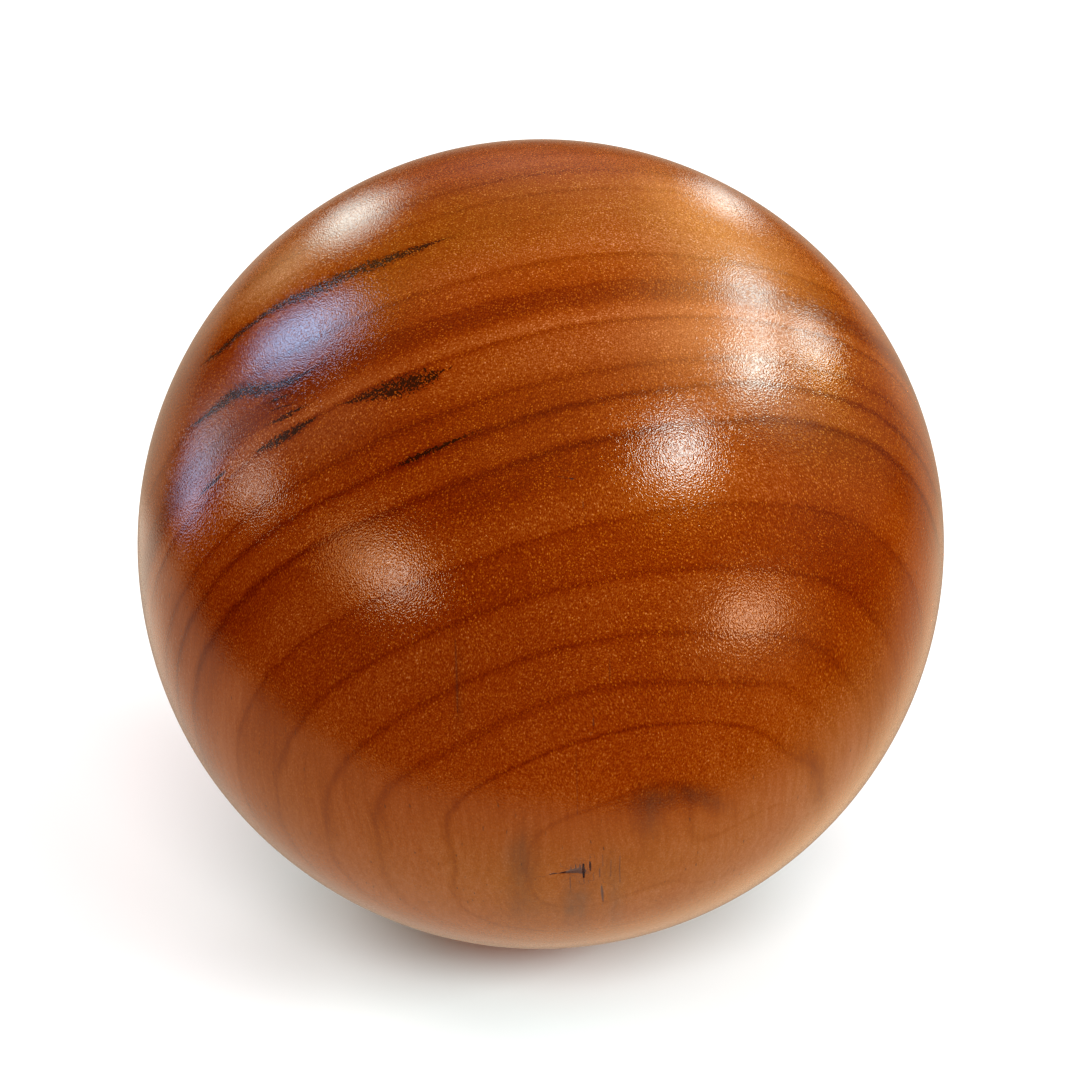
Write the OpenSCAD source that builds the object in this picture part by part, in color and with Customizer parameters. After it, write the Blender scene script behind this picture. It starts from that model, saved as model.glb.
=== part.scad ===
// Solid turned ball of polished hardwood, one piece with no bore, flat or stand.
// The origin is the centre of the ball. +Z is up, and the grain runs close to
// the Z axis, leaning about 15 degrees towards -Y at the top, so the growth
// rings close in curves low on the face towards -Y.

/* [Ball] */
// Diameter of the finished ball
ball_d = 60; // [20:0.5:150]

/* [Hidden] */
// Radius that the turned surface keeps all round
ball_r = ball_d / 2;
// Oiled red-brown hardwood
wood_colour = [0.50, 0.20, 0.06];

// The ball, turned from one solid blank
module ball() {
    color(wood_colour)
        sphere(r = ball_r, $fn = 128);
}

ball();
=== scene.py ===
import math

import bmesh
import bpy
import numpy as np
from mathutils import Matrix, Vector


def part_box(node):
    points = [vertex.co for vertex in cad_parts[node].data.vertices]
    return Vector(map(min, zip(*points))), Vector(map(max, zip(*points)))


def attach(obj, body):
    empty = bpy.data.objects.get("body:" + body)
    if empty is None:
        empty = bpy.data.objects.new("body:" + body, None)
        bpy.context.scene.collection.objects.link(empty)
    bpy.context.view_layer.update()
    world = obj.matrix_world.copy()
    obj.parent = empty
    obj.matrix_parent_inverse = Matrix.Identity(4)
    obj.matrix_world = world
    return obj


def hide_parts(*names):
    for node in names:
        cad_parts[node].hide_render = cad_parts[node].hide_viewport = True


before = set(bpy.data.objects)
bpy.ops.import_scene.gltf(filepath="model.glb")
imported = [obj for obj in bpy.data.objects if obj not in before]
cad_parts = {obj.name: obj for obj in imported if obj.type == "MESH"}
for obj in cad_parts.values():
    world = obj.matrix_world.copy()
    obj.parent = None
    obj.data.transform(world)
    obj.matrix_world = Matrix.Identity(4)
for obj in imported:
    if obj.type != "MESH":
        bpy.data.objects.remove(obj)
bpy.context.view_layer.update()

lo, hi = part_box("ball")
CENTRE = (lo + hi) / 2
R = (hi.x - lo.x) / 2  # 0.030 m
FLOOR = lo.z

# ---------------------------------------------------------------- face frame
# The ball's best face is seen from 25 degrees above the horizon.  Everything
# that is drawn on the wood is laid out in this frame: x to the right, y up
# and z towards the viewer, in ball radii.
ELEV = math.radians(25.0)
DIST = 12.0  # viewing distance in radii
RIGHT = np.array([1.0, 0.0, 0.0])
UP = np.array([0.0, math.sin(ELEV), math.cos(ELEV)])
BACK = np.array([0.0, -math.cos(ELEV), math.sin(ELEV)])
FACE = np.stack([RIGHT, UP, BACK])  # rows
MM = R * 1000.0  # mm per radius

VIEW_C = (540.3, 544.1)  # the ball's centre in a 1080 x 1080 layout
VIEW_R = 403.9  # its outline's radius there
VIEW_F = VIEW_R * math.sqrt(DIST * DIST - 1.0)
UNIT = MM / VIEW_R  # mm for one layout unit at the middle of the ball


def on_ball(pts):
    """Layout points to points on the unit ball, in the face frame."""
    pts = np.atleast_2d(np.asarray(pts, float))
    d = np.stack(
        [
            (pts[:, 0] - VIEW_C[0]) / VIEW_F,
            -(pts[:, 1] - VIEW_C[1]) / VIEW_F,
            -np.ones(len(pts)),
        ],
        1,
    )
    d /= np.linalg.norm(d, axis=1)[:, None]
    o = np.array([0.0, 0.0, DIST])
    b = d @ o
    t = -b - np.sqrt(np.maximum(b * b - (DIST * DIST - 1.0), 0.0))
    p = o + t[:, None] * d
    return p / np.linalg.norm(p, axis=1)[:, None]


def norm_rows(v):
    return v / np.linalg.norm(v, axis=1)[:, None]


def norm(v):
    v = np.asarray(v, float)
    return v / np.linalg.norm(v)


# ---------------------------------------------------------------- growth rings
# Distance from the tree's pith, in mm: a cylinder far off the ball, bent by a
# few soft swellings.  The rings close round a bull's eye low on the face.
PITH = norm([-0.21, 0.63, math.sqrt(1 - 0.21**2 - 0.63**2)])
PU = norm(np.array([1.0, 0, 0]) - PITH[0] * PITH)
PV = np.cross(PITH, PU)
SWELL = np.array([
    [-0.839, -0.16, 0.52, 0.0132], [-0.839, 0.401, 0.368, 0.0378], [-0.517, -0.72, 0.463, 0.0165],
    [-0.678, -0.44, 0.589, 0.0022], [-0.517, -0.16, 0.841, 0.0305], [-0.678, 0.121, 0.725, -0.0102],
    [-0.517, 0.401, 0.756, 0.0593], [-0.195, -0.72, 0.666, -0.0203], [-0.356, -0.44, 0.825, -0.0015],
    [-0.195, -0.16, 0.968, 0.0049], [-0.356, 0.121, 0.927, -0.0311], [-0.195, 0.401, 0.895, 0.0351],
    [-0.356, 0.681, 0.64, -0.0021], [0.127, -0.72, 0.682, -0.0467], [-0.034, -0.44, 0.897, 0.0054],
    [0.127, -0.16, 0.979, 0.0183], [-0.034, 0.121, 0.992, -0.0056], [0.127, 0.401, 0.907, 0.0134],
    [-0.034, 0.681, 0.732, 0.0329], [0.449, -0.72, 0.529, -0.0169], [0.288, -0.44, 0.851, -0.0202],
    [0.449, -0.16, 0.879, -0.01], [0.288, 0.121, 0.95, -0.0082], [0.449, 0.401, 0.799, 0.025],
    [0.288, 0.681, 0.673, 0.0168], [0.61, -0.44, 0.659, 0.0152], [0.771, -0.16, 0.617, -0.0266],
    [0.61, 0.121, 0.783, 0.014], [0.771, 0.401, 0.495, 0.0386], [0.61, 0.681, 0.405, -0.0356],
    [0.932, 0.121, 0.342, 0.0278],
])
# Smaller swellings low on the face.
SWELL_2 = np.array([
    [-0.464, -0.361, 0.809, 0.003], [-0.346, -0.359, 0.867, -0.0053], [-0.23, -0.358, 0.905, 0.0114],
    [-0.115, -0.357, 0.927, -0.0013], [-0.001, -0.357, 0.934, -0.0035], [0.114, -0.357, 0.927, -0.0111],
    [0.229, -0.358, 0.905, 0.0113], [0.345, -0.359, 0.867, 0.0038], [0.463, -0.361, 0.81, -0.0383],
    [0.583, -0.364, 0.727, 0.0407], [0.707, -0.368, 0.604, -0.0192], [-0.467, -0.48, 0.743, -0.0058],
    [-0.348, -0.477, 0.807, -0.0155], [-0.232, -0.475, 0.849, -0.0068], [-0.116, -0.474, 0.873, -0.0134],
    [-0.001, -0.474, 0.881, 0.0095], [0.114, -0.474, 0.873, 0.0095], [0.23, -0.475, 0.849, -0.0025],
    [0.347, -0.477, 0.807, -0.0065], [0.465, -0.48, 0.744, 0.0375], [0.587, -0.484, 0.649, -0.0246],
    [0.714, -0.49, 0.501, 0.0081], [-0.471, -0.602, 0.645, -0.011], [-0.351, -0.598, 0.721, 0.0457],
    [-0.233, -0.595, 0.769, 0.0088], [-0.117, -0.594, 0.796, -0.0068], [-0.001, -0.593, 0.805, 0.0152],
    [0.115, -0.594, 0.796, -0.0196], [0.232, -0.595, 0.77, -0.0186], [0.35, -0.598, 0.722, 0.0515],
    [0.469, -0.602, 0.646, -0.081], [0.593, -0.608, 0.528, 0.0421], [-0.477, -0.729, 0.491, 0.0082],
    [-0.355, -0.722, 0.593, -0.0109], [-0.236, -0.719, 0.654, -0.0288], [-0.118, -0.716, 0.688, -0.0012],
    [-0.001, -0.716, 0.698, 0.0221], [0.116, -0.716, 0.688, -0.0164], [0.234, -0.719, 0.655, 0.0305],
    [0.354, -0.722, 0.594, -0.0342], [0.476, -0.729, 0.492, 0.0405], [-0.239, -0.85, 0.47, 0.0232],
    [-0.12, -0.846, 0.52, -0.0195], [-0.001, -0.845, 0.535, 0.0097], [0.118, -0.846, 0.52, 0.0073],
    [0.238, -0.85, 0.471, -0.0162],
])


def ring_mm(q):
    """Ring coordinate in mm for unit vectors q in the face frame."""
    x = q @ PU + 0.468
    y = q @ PV - 2.286
    out = np.sqrt(x * x + y * y)
    for cx, cy, cz, w in SWELL:
        d2 = ((q - np.array([cx, cy, cz])) ** 2).sum(1)
        out += w * np.exp(-d2 / (2 * 0.28**2))
    for cx, cy, cz, w in SWELL_2:
        d2 = ((q - np.array([cx, cy, cz])) ** 2).sum(1)
        out += w * np.exp(-d2 / (2 * 0.17**2))
    return out * MM


# ---------------------------------------------------------------- marks drawn on the wood
# Streaks of dark mineral: layout points with half widths in layout units.
STREAKS_1 = [
    [(206, 361, 1.2), (218, 352, 3.8), (228, 343, 4.4), (240, 332, 3.6), (250, 325, 2.8), (264, 314, 3.4),
     (288, 301, 5.2), (308, 293, 6.2), (328, 284, 6.8), (352, 272, 6.0), (380, 263, 5.8), (400, 255, 4.8),
     (420, 248, 3.4), (433, 243, 1.6), (452, 237, 0.4)],
    [(346, 403, 0.8), (364, 397, 3.6), (380, 392, 5.6), (393, 389, 7.4), (406, 384, 8.4), (420, 380, 7.6),
     (432, 376, 5.2), (441, 371, 1.4)],
    [(392, 466, 0.4), (404, 463, 1.6), (416, 457, 2.4), (430, 451, 2.0), (446, 444, 1.5), (460, 438, 1.2),
     (472, 433, 0.7), (486, 428, 0.2)],
]
STREAKS_2 = [
    [(184, 430, 0.5), (200, 420, 1.8), (220, 404, 4.4), (234, 394, 6.4), (244, 390, 5.0), (256, 390, 6.2),
     (274, 387, 4.6), (292, 380, 3.4), (302, 375, 1.8), (312, 369, 0.7), (326, 359, 0.7), (342, 347, 0.3)],
    [(257, 451, 1.2), (270, 444, 3.8), (281, 438, 4.6), (294, 430, 4.0), (306, 423, 2.4), (316, 417, 0.6)],
    [(199, 495, 0.8), (208, 486, 2.2), (218, 477, 1.8), (228, 468, 0.5)],
]
STREAKS_3 = [
    [(267, 425, 0.5), (279, 419, 1.8), (291, 413, 2.2), (305, 405, 0.8)],
    [(264, 404, 0.4), (277, 399, 1.5), (291, 393, 0.6)],
]
# Cuts that go into the surface: points with half widths, depth in mm, and how dark they are.
CUTS = [
    ([(549, 874.5, 0.4), (553, 873.6, 0.9), (556, 873.4, 0.5)], 0.05, 0.8),
    ([(558, 873.4, 0.5), (562, 872.6, 1.0), (565, 872.2, 0.7)], 0.06, 0.8),
    ([(562, 873.0, 0.8), (568, 872.0, 2.2), (573, 871.2, 3.3), (578, 870.6, 3.9), (581.4, 871.2, 4.2)], 0.05, 0.74),
    ([(570.4, 867.5, 0.4), (570.6, 870, 0.5)], 0.03, 0.75),
    ([(575.0, 864.8, 0.4), (575.2, 868, 0.6)], 0.03, 0.75),
    ([(579.4, 864.6, 0.4), (579.6, 868, 0.7)], 0.03, 0.80),
    ([(582.8, 864.5, 0.8), (583, 871, 1.1), (583.2, 877.5, 0.7)], 0.12, 0.97),
    ([(589.4, 862, 0.6), (589.6, 866, 0.9), (589.8, 870.5, 0.5)], 0.10, 0.85),
    ([(569.5, 877, 0.4), (570.0, 888, 0.4)], 0.02, 0.55),
    ([(599, 869, 0.5), (599.2, 876.5, 0.5)], 0.02, 0.55),
    ([(601, 886, 0.6), (601.6, 892, 1.2), (602.4, 901, 0.6)], 0.05, 0.65),
    ([(602, 855, 0.4), (602.3, 866, 0.5)], 0.01, 0.35),
    ([(619.5, 856, 0.4), (619, 868, 0.6), (619.5, 882, 0.4)], 0.01, 0.42),
    ([(610.5, 860, 0.4), (610, 876, 0.5)], 0.01, 0.38),
    ([(454.5, 640, 0.5), (455.5, 662, 0.9), (456.5, 690, 1.0), (457, 712, 0.5)], 0.012, 0.28),
    ([(575.5, 752, 0.4), (576.5, 785, 0.7), (577, 815, 0.4)], 0.008, 0.18),
    ([(609, 660, 0.4), (609.3, 670, 0.8), (609, 682, 0.4)], 0.010, 0.24),
    ([(593, 719, 0.5), (593, 725, 0.9)], 0.010, 0.45),
    ([(575.8, 467, 0.3), (578.5, 478, 0.6), (581.5, 490, 0.6), (583.5, 501, 0.3)], 0.012, 0.0),
    ([(731, 199, 0.4), (737, 210, 0.6), (744, 222, 0.4)], 0.012, 0.25),
    ([(757, 284, 0.3), (766, 299, 0.5), (776, 315, 0.3)], 0.008, 0.20),
    ([(786, 333, 0.3), (796, 349, 0.4), (803, 360, 0.3)], 0.006, 0.12),
    ([(570.5, 478.6, 0.7), (572.2, 478.8, 0.7)], 0.01, 0.80),
    ([(582.4, 502, 0.4), (582.8, 507, 0.5)], 0.01, 0.40),
]


def polyline(q, pts, reach):
    """Distance (mm), side (+1 or -1) and half width (mm) for the points q near one line; far points get a big distance.
    """
    a = np.asarray(pts, float)
    p3 = on_ball(a[:, :2])
    w = a[:, 2] * UNIT
    n = len(q)
    best = np.full(n, 1e3)
    sign = np.ones(n)
    half = np.full(n, -10.0)
    mid = p3.mean(0)
    near = np.nonzero(((q - mid) ** 2).sum(1) < (np.sqrt(((p3 - mid) ** 2).sum(1)).max() + reach / MM) ** 2)[0]
    if len(near):
        qq = q[near]
        b, s, h = best[near], sign[near], half[near]
        for i in range(len(p3) - 1):
            u = p3[i + 1] - p3[i]
            L2 = u @ u
            t = np.clip(((qq - p3[i]) @ u) / L2, 0, 1)
            c = p3[i] + t[:, None] * u
            d = qq - c
            dist = np.sqrt((d * d).sum(1)) * MM
            side = np.sign(np.einsum("ij,ij->i", np.cross(np.broadcast_to(u, d.shape), d), qq))
            k = dist < b
            b[k] = dist[k]
            s[k] = side[k]
            h[k] = (w[i] + (w[i + 1] - w[i]) * t)[k]
        best[near], sign[near], half[near] = b, s, h
    return best, sign, half


def lines(q, group, reach=3.0):
    """The nearest line of a group: signed distance, and half width that falls off away from the line."""
    x = np.full(len(q), 9.0)
    w = np.full(len(q), -9.0)
    best = np.full(len(q), 1e3)
    for pts in group:
        d, s, h = polyline(q, pts, reach)
        k = d - np.minimum(h, 1.0) < best
        best[k] = (d - np.minimum(h, 1.0))[k]
        x[k] = (d * s)[k]
        w[k] = (h - np.maximum(d - 1.1, 0) * 3)[k]
    return np.clip(x, -9, 9), np.clip(w, -9, 9)


def relief(q):
    """Radius in mm for unit vectors q (face frame): turned, seasoned wood is never quite round, and it is cut by small checks."""
    long_axis = norm([0.239, 0.966, 0.10])
    c = q @ long_axis
    r = np.full(len(q), MM)
    r += 0.115 * (c * c - 0.38)
    # soft hand-sanded unevenness
    for k, (ax, f, ph) in enumerate([((0.8, 0.3, 0.5), 6.0, 0.3), ((-0.4, 0.9, 0.2), 7.5, 1.9), ((0.2, -0.5, 0.84), 5.3, 4.1), ((0.6, -0.7, -0.3), 9.1, 2.2)]):
        r += 0.006 * np.sin(f * (q @ norm(ax)) + ph)
    for pts, depth, _ in CUTS:
        d, s, h = polyline(q, pts, 1.2)
        k = d < 1.2
        if k.any():
            hw = np.maximum(h[k], 0.02)
            r[k] -= depth * np.exp(-((d[k] / (hw * 0.95)) ** 2)) * np.clip(hw / 0.06, 0.25, 1)
    return r


# ---------------------------------------------------------------- mesh
N = 116
PACK = [  # uv cell of each of the six sides: the face gets the largest
    ("z", 1, 0.004, 0.004, 0.616), ("x", 1, 0.632, 0.004, 0.300), ("x", -1, 0.632, 0.316, 0.300),
    ("y", 1, 0.004, 0.632, 0.300), ("y", -1, 0.316, 0.632, 0.300), ("z", -1, 0.632, 0.632, 0.362),
]


def build_ball():
    g = np.tan(np.linspace(-math.pi / 4, math.pi / 4, N + 1))
    A, B = np.meshgrid(g, g, indexing="ij")
    one = np.ones_like(A)
    sides = {
        ("z", 1): (A, B, one), ("z", -1): (-A, B, -one),
        ("x", 1): (one, B, -A), ("x", -1): (-one, B, A),
        ("y", 1): (A, one, -B), ("y", -1): (A, -one, B),
    }
    pts, quads = [], []
    base = 0
    for key in [(p[0], p[1]) for p in PACK]:
        X, Y, Z = sides[key]
        P = np.stack([X, Y, Z], -1).reshape(-1, 3)
        P /= np.linalg.norm(P, axis=1)[:, None]
        idx = np.arange((N + 1) ** 2).reshape(N + 1, N + 1) + base
        q = np.stack([idx[:-1, :-1], idx[1:, :-1], idx[1:, 1:], idx[:-1, 1:]], -1).reshape(-1, 4)
        pts.append(P)
        quads.append(q)
        base += len(P)
    P = np.concatenate(pts)
    Q = np.concatenate(quads)
    key = np.round(P * 1e6).astype(np.int64)
    _, first, inv = np.unique(key, axis=0, return_index=True, return_inverse=True)
    inv = inv.reshape(-1)
    P = P[first]
    Q = inv[Q]
    # outward
    n = np.cross(P[Q[:, 1]] - P[Q[:, 0]], P[Q[:, 3]] - P[Q[:, 0]])
    flip = (n * P[Q[:, 0]]).sum(1) < 0
    Q[flip] = Q[flip][:, ::-1]

    me = bpy.data.meshes.new("wood_ball")
    me.from_pydata(P.tolist(), [], Q.tolist())
    bm = bmesh.new()
    bm.from_mesh(me)
    bm.verts.ensure_lookup_table()
    # finer cells where the surface is cut
    for level, reach in ((3, 0.42), (1, 0.16)):
        co = np.array([f.calc_center_median()[:] for f in bm.faces])
        co /= np.linalg.norm(co, axis=1)[:, None]
        near = np.zeros(len(co), bool)
        for pts_, depth, _ in CUTS:
            d, s, h = polyline(co, pts_, 2.0)
            near |= d < np.maximum(h, 0) + reach
        bm.faces.ensure_lookup_table()
        edges = set()
        for i in np.nonzero(near)[0]:
            edges.update(bm.faces[i].edges)
        bmesh.ops.subdivide_edges(bm, edges=list(edges), cuts=level, use_grid_fill=True)
    for v in bm.verts:
        v.co.normalize()
    bm.normal_update()
    bm.to_mesh(me)
    bm.free()

    n = len(me.vertices)
    q = np.empty(n * 3)
    me.vertices.foreach_get("co", q)
    q = q.reshape(-1, 3)
    q /= np.linalg.norm(q, axis=1)[:, None]

    # smooth normals from the relief itself
    a = np.where(np.abs(q[:, :1]) < 0.8, np.array([[1.0, 0, 0]]), np.array([[0, 1.0, 0]]))
    t1 = a - (a * q).sum(1)[:, None] * q
    t1 /= np.linalg.norm(t1, axis=1)[:, None]
    t2 = np.cross(q, t1)
    r0 = relief(q)
    eps = 0.0009

    def at(t, s):
        v = q + s * eps * t
        return relief(v / np.linalg.norm(v, axis=1)[:, None])

    g1 = (at(t1, 1) - at(t1, -1)) / (2 * eps * MM)
    g2 = (at(t2, 1) - at(t2, -1)) / (2 * eps * MM)
    nor = q - g1[:, None] * t1 - g2[:, None] * t2
    nor /= np.linalg.norm(nor, axis=1)[:, None]

    world = (q * (r0 / 1000.0)[:, None]) @ FACE
    # the out-of-round form keeps the ball's own size and rests on the floor
    world += np.array(CENTRE[:])
    low = world[:, 2].min()
    world[:, 2] += FLOOR - low
    me.vertices.foreach_set("co", world.reshape(-1))
    me.update()

    def attr(name, values):
        at_ = me.attributes.new(name, "FLOAT", "POINT")
        at_.data.foreach_set("value", np.asarray(values, np.float32))

    attr("ring", ring_mm(q))
    e = 0.004
    sl = [(ring_mm(norm_rows(q + e * t)) - ring_mm(norm_rows(q - e * t))) / (2 * e * MM) for t in (t1, t2)]
    attr("slope", np.sqrt(sl[0] ** 2 + sl[1] ** 2))
    x1, w1 = lines(q, STREAKS_1)
    x2, w2 = lines(q, STREAKS_2)
    x3, w3 = lines(q, STREAKS_3, 1.4)
    attr("s1x", x1); attr("s1w", w1)
    attr("s2x", x2); attr("s2w", w2)
    attr("s3x", x3); attr("s3w", w3)
    cx, cw = lines(q, [c[0] for c in CUTS], 1.5)
    attr("cutx", cx); attr("cutw", cw)
    nearest, dark = np.full(len(q), 1e3), np.zeros(len(q))
    for pts_, _, ink in CUTS:
        d, _, h = polyline(q, pts_, 1.5)
        d = d - h
        dark[d < nearest] = ink
        nearest = np.minimum(nearest, d)
    attr("cutk", dark)
    # darker and lighter places: wood tone and stains, and some painted shade and painted light
    attr("wood_tone_and_painted_light", patches(q, WOOD_TONE_AND_PAINTED_LIGHT))
    attr("smoke", np.clip(patches(q, SMOKE), 0, 1))
    # paler, yellower places: a golden band in the wood, and painted light where the ball is lit and mirrors the table
    attr("pale_wood_and_painted_light", np.clip(patches(q, PALE_WOOD_AND_PAINTED_LIGHT), 0, 1.3))
    attr("strong", np.clip(1 - patches(q, FAINT), 0.12, 1))
    attr("calm", calm(q))
    attr("hush", calm(q, 240.0))

    # uv for baking: one cell for each side of the cube the mesh came from
    nl = len(me.loops)
    lv = np.empty(nl, np.int32)
    me.loops.foreach_get("vertex_index", lv)
    start = np.empty(len(me.polygons), np.int32)
    total = np.empty(len(me.polygons), np.int32)
    me.polygons.foreach_get("loop_start", start)
    me.polygons.foreach_get("loop_total", total)
    face_of = np.repeat(np.arange(len(start)), total)
    cen = np.zeros((len(start), 3))
    np.add.at(cen, face_of, q[lv])
    ax = np.abs(cen).argmax(1)
    sg = np.sign(cen[np.arange(len(cen)), ax]).astype(int)
    uv = np.zeros((nl, 2))
    lq = q[lv]
    for name, s, u0, v0, size in PACK:
        k = {"x": 0, "y": 1, "z": 2}[name]
        m = (ax[face_of] == k) & (sg[face_of] == s)
        c = lq[m]
        d = np.abs(c[:, k])
        if name == "z":
            uu, vv = c[:, 0] * s / d, c[:, 1] / d
        elif name == "x":
            uu, vv = -c[:, 2] * s / d, c[:, 1] / d
        else:
            uu, vv = c[:, 0] / d, -c[:, 2] * s / d
        uv[m, 0] = u0 + size * (0.5 + np.arctan(uu) / (math.pi / 2))
        uv[m, 1] = v0 + size * (0.5 + np.arctan(vv) / (math.pi / 2))
    layer = me.uv_layers.new(name="OFBake")
    layer.uv.foreach_set("vector", uv.reshape(-1).astype(np.float32))

    me.polygons.foreach_set("use_smooth", np.ones(len(me.polygons), bool))
    me.normals_split_custom_set_from_vertices((nor @ FACE).tolist())
    me.update()
    obj = bpy.data.objects.new("wood_ball", me)
    bpy.context.scene.collection.objects.link(obj)
    print("triangles", int((total - 2).sum()))
    return obj


# Soft darker and lighter places: layout point, size along, size
# across, turn in degrees and strength. Most are the wood's own tone and
# stains; some are painted shade and painted light: darker wood under the
# two blue reflections at upper left and along the right outline, and
# lighter wood low at the right and the left, where more light falls.
WOOD_TONE_AND_PAINTED_LIGHT = [
    (530, 402, 40, 14, -16, -0.10),
    (330, 430, 50, 14, -28, -0.10),
    (490, 500, 75, 14, -18, -0.12),
    (830, 662, 45, 16, 20, -0.14),
    (225, 625, 28, 34, -40, -0.22),
    (664, 800, 30, 8, -8, -0.36),
    (706, 800, 20, 7, 24, -0.30),
    (646, 816, 10, 18, 0, -0.22),
    (524, 876, 11, 30, 6, -0.14),
    # painted shade along the right outline, partly the wood's own dark band
    (852, 350, 80, 22, 54, -0.34),
    (272, 284, 62, 11, -36, 0.26),
    # painted shade: darker wood under the two blue reflections at upper left
    (306, 336, 62, 26, -30, -0.62),
    (200, 466, 20, 46, 14, -0.30),
    (817, 778, 6, 24, -8, -0.34),
    (800, 756, 16, 7, 34, -0.22),
    (500, 215, 120, 50, -8, -0.11),
    (470, 190, 90, 26, -6, -0.20),
    (398, 432, 74, 26, -20, -0.18),
    (550, 430, 40, 26, -14, -0.14),
    (490, 495, 50, 24, -14, -0.14),
    (850, 485, 60, 70, 10, -0.17),
    (852, 610, 30, 36, 0, -0.18),
    (192, 370, 26, 40, 30, -0.20),
    (900, 480, 24, 60, 0, -0.10),
    (560, 310, 120, 24, -8, -0.07),
    (845, 560, 40, 60, 0, -0.13),
    (440, 860, 90, 40, 10, 0.10),
    (700, 860, 80, 40, -16, 0.06),
    # painted light: lighter low at the right and the left, where more light falls
    (835, 800, 90, 46, -46, 0.16),
    (186, 700, 30, 90, -24, 0.14),
]
# Greyish stains, in the same way.
SMOKE = [
    (523, 874, 10, 28, 4, 0.34),
    (514, 850, 8, 12, 30, 0.20),
    (579, 896, 8, 22, 0, 0.40),
    (568, 900, 5, 18, 0, 0.18),
    (615, 906, 5, 16, 0, 0.26),
    (648, 812, 10, 18, 0, 0.28),
    (668, 797, 26, 7, -8, 0.24),
    (704, 798, 18, 6, 22, 0.24),
    (606, 868, 12, 16, 0, 0.18),
    (560, 908, 40, 8, 0, 0.14),
    (458, 690, 4, 30, 0, 0.16),
]
# Paler, yellower places, in the same way: a golden band in the wood at upper
# left, and painted light: paler at the top and round the highlights at
# upper right, where the light falls, and low on the ball, where it mirrors
# the white table.
PALE_WOOD_AND_PAINTED_LIGHT = [
    (470, 885, 110, 46, 8, 0.70),
    (660, 875, 90, 42, -12, 0.65),
    (280, 800, 60, 60, 0, 0.35),
    (815, 345, 50, 40, 50, 0.60),
    (735, 240, 70, 26, 24, 0.60),
    (590, 205, 130, 40, 0, 0.65),
    (430, 240, 70, 26, -14, 0.55),
    (815, 430, 60, 30, 20, 0.50),
    (272, 284, 58, 14, -36, 0.60),
    (800, 830, 70, 60, -40, 0.55),
    (870, 720, 40, 70, 20, 0.55),
]
# Where the rings are faint, in the same way (1 is no ring at all).
FAINT = [
    (850, 745, 60, 90, 24, 0.80),
    (760, 880, 90, 40, -30, 0.70),
    (560, 935, 150, 30, 0, 0.62),
    (360, 890, 70, 40, 36, 0.45),
    (448, 868, 26, 50, 0, 0.42),
    (238, 790, 40, 70, -30, 0.35),
]


def layout(q):
    z = DIST - q[:, 2]
    return VIEW_C[0] + VIEW_F * q[:, 0] / z, VIEW_C[1] - VIEW_F * q[:, 1] / z


def round_front(q):
    """Layout place of q, and how much of the face's own pattern is left there: it fades out round the back of the ball."""
    z0 = 1.0 / DIST
    side = q[:, 2] < z0
    r = np.maximum(np.hypot(q[:, 0], q[:, 1]), 1e-6)
    p = q.copy()
    p[side, 0] *= (math.sqrt(1 - z0 * z0) / r)[side]
    p[side, 1] *= (math.sqrt(1 - z0 * z0) / r)[side]
    p[side, 2] = z0
    t = np.clip((q[:, 2] + 0.60) / (z0 + 0.60), 0, 1)
    px, py = layout(p)
    return px, py, t * t * (3 - 2 * t)


# Below this line the fibres run along the surface instead of ending at it, and the pores are closed.
CALM = [(130, 480), (158, 530), (182, 572), (203, 625), (251, 679), (287, 713), (336, 742), (384, 771), (430, 785), (560, 802),
        (611, 805), (703, 797), (764, 772), (828, 723), (879, 675), (902, 600), (915, 545), (940, 480)]


def calm(q, above=22.0):
    px, py, left = round_front(q)
    d = py - np.interp(px, [c[0] for c in CALM], [c[1] for c in CALM])
    t = np.clip((d + above) / (above + 24), 0, 1)
    t = t * t * (3 - 2 * t)
    return t * left + 0.5 * (1 - left)


def patches(q, spots):
    out = np.zeros(len(q))
    px, py, left = round_front(q)
    for x, y, a, b, rot, s in spots:
        c, sn = math.cos(math.radians(rot)), math.sin(math.radians(rot))
        dx, dy = px - x, py - y
        u = (dx * c + dy * sn) / a
        v = (-dx * sn + dy * c) / b
        out += s * np.exp(-0.5 * (u * u + v * v)) * left
    return out


# ---------------------------------------------------------------- material
# The broad dark and light bands: ring mm, then ln of lightness x 100.
BANDS = [
    (38.0, 0), (40.6, 5), (43.0, -5), (45.6, 6), (47.6, 8), (48.6, -12), (50.4, 0), (52.6, 10), (53.6, -6),
    (55.0, 4), (57.0, 0), (58.1, -1), (58.9, 10), (59.5, 6), (60.3, -6), (62.3, 0), (63.9, 6), (65.6, 3), (67.0, 0),
    (69.5, 3), (70.5, 7), (71.2, 15), (72.2, 16), (72.9, 12), (73.6, 4), (74.6, 0), (75.3, -5), (75.8, -14),
    (76.05, -32), (76.6, -35), (77.2, -32), (77.6, -20), (77.9, 0), (78.3, 16), (78.75, 26), (79.5, 10), (80.2, 17),
    (81.2, 18), (81.9, 4), (83.4, 1), (84.6, 0), (85.4, 7), (85.85, 2), (86.5, -10), (87.1, -14), (87.5, -8),
    (87.95, 3), (88.9, 11), (89.5, 9), (89.9, 1), (90.15, -13), (91.2, -9), (92.1, -11), (92.65, -8), (92.95, 6),
    (93.8, 4), (94.5, -2), (95.4, 0), (96.6, -1), (99.5, 0),
]
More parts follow.
